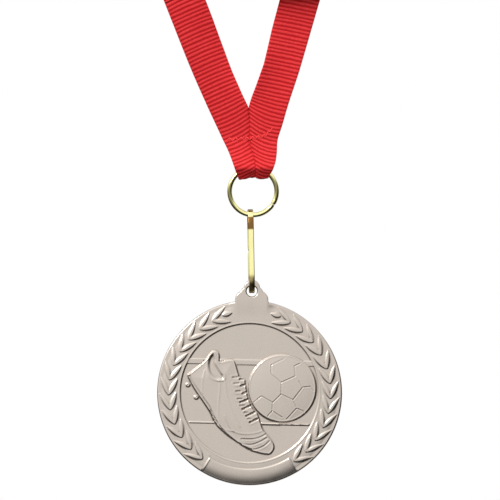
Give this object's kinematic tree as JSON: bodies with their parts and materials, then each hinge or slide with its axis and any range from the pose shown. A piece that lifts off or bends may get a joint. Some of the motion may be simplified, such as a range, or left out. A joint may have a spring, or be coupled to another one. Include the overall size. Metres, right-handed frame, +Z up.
{
  "type": "medal",
  "caption": "Round struck sports medal with a football boot and ball in relief, hanging by an oval link and a jump ring from a folded red neck ribbon.",
  "frame": {"origin": "top of the band round the folded ribbon, in the middle of the medal's plane, where the part is held up", "axes": "+Z up; +X to the viewer's right; the medal's face looks along -Y and its back along +Y"},
  "size_m": [0.059, 0.0078, 0.1438],
  "materials": {
    "nickel": "nickel plate over a struck steel blank, soft satin, brighter on the raised edges",
    "brass": "polished pale brass plate",
    "red_ribbon": "ribbed polyester grosgrain, bright red with a slight sheen",
    "red_thread": "twisted polyester sewing thread",
    "white_tape": "plain woven cotton tape"
  },
  "bodies": {
    "ribbon": {"ribbon_left_strap": "red_ribbon", "ribbon_right_strap": "red_ribbon", "ribbon_tail_loop": "red_ribbon", "ribbon_hank": "red_ribbon", "hank_tie": "white_tape", "cross_stitch_thread": "red_thread", "mitre_seam_thread": "red_thread"},
    "ring": {"ribbon_ring": "brass"},
    "link": {"oval_link": "brass"},
    "medal": {"medal_disc": "nickel"}
  },
  "joints": [
    {"name": "ring_turn", "type": "hinge", "parent": "ribbon", "child": "ring", "pos_m": [0.00085, 0, -0.06435], "axis": [0, 1, 0], "range_deg": [-45, 45]},
    {"name": "link_swing", "type": "hinge", "parent": "ring", "child": "link", "pos_m": [0.00085, 0, -0.07072], "axis": [1, 0, 0], "range_deg": [-90, 90]},
    {"name": "medal_swing", "type": "hinge", "parent": "link", "child": "medal", "pos_m": [0.00052, 0, -0.09136], "axis": [0, 1, 0], "range_deg": [-90, 90]}
  ]
}
